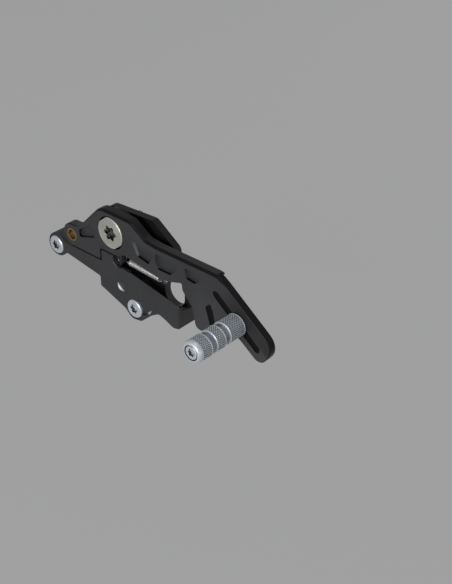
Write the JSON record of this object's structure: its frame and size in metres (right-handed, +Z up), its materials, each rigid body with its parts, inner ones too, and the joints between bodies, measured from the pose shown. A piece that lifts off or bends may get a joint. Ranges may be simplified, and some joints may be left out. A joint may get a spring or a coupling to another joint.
{
  "type": "motorcycle rear brake pedal",
  "caption": "Milled rear brake pedal on a bolt-on carrier, with return spring, shoulder bolt and a knurled step that slides along a slot.",
  "frame": {"origin": "on the pivot axis, in the plane where the carrier meets the motorcycle's frame", "axes": "+X forward along the pedal, +Y inward to the motorcycle's frame, +Z up"},
  "size_m": [0.235, 0.082, 0.0868],
  "materials": {
    "black_anodised": "satin black anodised, milled",
    "bare_alloy": "fine bead-blasted, knurled",
    "zinc_steel": "zinc plated, matt",
    "screw_steel": "plain steel, satin",
    "spring_steel": "drawn wire, zinc plated",
    "bronze": "plain bearing bronze",
    "black_rubber": "matt"
  },
  "bodies": {
    "carrier": {"carrier_bracket": "black_anodised", "pivot_bolt": "zinc_steel", "carrier_spring_pin": "screw_steel", "return_spring": "spring_steel", "stop_buffer": "black_rubber", "front_screw": "screw_steel", "front_sleeve": "screw_steel", "rear_screw": "screw_steel", "rear_sleeve": "screw_steel"},
    "arm": {"pedal_arm": "black_anodised", "pivot_bush_outer": "bronze", "pivot_bush_inner": "bronze", "pivot_seal_outer": "black_rubber", "pivot_seal_inner": "black_rubber", "push_rod_bush": "bronze", "arm_spring_pin": "screw_steel"},
    "step": {"step_peg": "bare_alloy", "step_screw": "screw_steel", "step_screw_washer": "screw_steel", "step_seat_ring": "screw_steel", "slot_nut": "screw_steel"}
  },
  "joints": [
    {"name": "pedal_pivot", "type": "hinge", "parent": "carrier", "child": "arm", "pos_m": [0, 0, 0], "axis": [0, 1, 0], "range_deg": [0, 9], "stiffness_Nm_per_rad": 2, "springref_deg": -14.32, "deforming": ["return_spring"]},
    {"name": "step_slide", "type": "slide", "parent": "arm", "child": "step", "axis": [0.7965, 0, -0.6046], "range_m": [-0.022, 0.019]}
  ]
}
